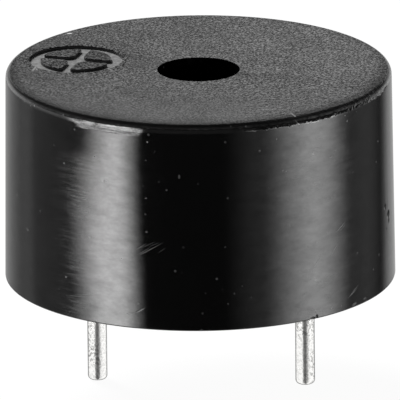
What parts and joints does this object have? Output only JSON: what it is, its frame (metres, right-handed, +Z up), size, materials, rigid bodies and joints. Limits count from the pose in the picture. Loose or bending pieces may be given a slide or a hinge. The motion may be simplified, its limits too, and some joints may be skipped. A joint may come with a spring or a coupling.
{
  "type": "piezo buzzer",
  "caption": "Round black through-hole piezo buzzer with a sound hole, an engraved plus mark and two pins; the diaphragm and its drive circuit are inside.",
  "frame": {"origin": "middle of the two pins, on the plane of the housing's rim, which seats on the circuit board that the buzzer is soldered to", "axes": "+Z up out of the sound hole, X through both pins with the positive pin at -X, +Y to the back"},
  "size_m": [0.014, 0.014, 0.0117],
  "materials": {
    "black_plastic": "glossy on the side, spark-eroded grain on the top",
    "brass_sheet": "rolled, satin",
    "piezo_ceramic": "fired, matte",
    "fired_silver": "fired silver, matte",
    "silicone": "translucent white, satin",
    "solder": "smooth, bright",
    "enamelled_wire": "enamelled copper",
    "paper_board": "phenolic paper laminate",
    "copper_foil": "etched copper foil",
    "black_epoxy": "moulded, matte",
    "resistor_body": "glazed ceramic chip",
    "tinned_copper": "tinned",
    "tinned_brass": "tinned, bright, drawn along its length",
    "resin": "cast, satin"
  },
  "bodies": {
    "root": {"housing": "black_plastic", "diaphragm": "brass_sheet", "piezo_ceramic": "piezo_ceramic", "main_electrode": "fired_silver", "feedback_electrode": "fired_silver", "diaphragm_seal": "silicone", "main_disc_solder": "solder", "feedback_disc_solder": "solder", "ground_disc_solder": "solder", "main_lead": "enamelled_wire", "feedback_lead": "enamelled_wire", "ground_lead": "enamelled_wire", "main_pad_solder": "solder", "feedback_pad_solder": "solder", "ground_pad_solder": "solder", "circuit_board": "paper_board", "copper_tracks": "copper_foil", "transistor": "black_epoxy", "transistor_legs": "tinned_copper", "load_resistor": "resistor_body", "bias_resistor": "resistor_body", "feedback_resistor": "resistor_body", "resistor_ends": "tinned_copper", "component_solder": "solder", "positive_pin": "tinned_brass", "negative_pin": "tinned_brass", "positive_pin_solder": "solder", "negative_pin_solder": "solder", "sealing_resin": "resin"}
  },
  "joints": []
}
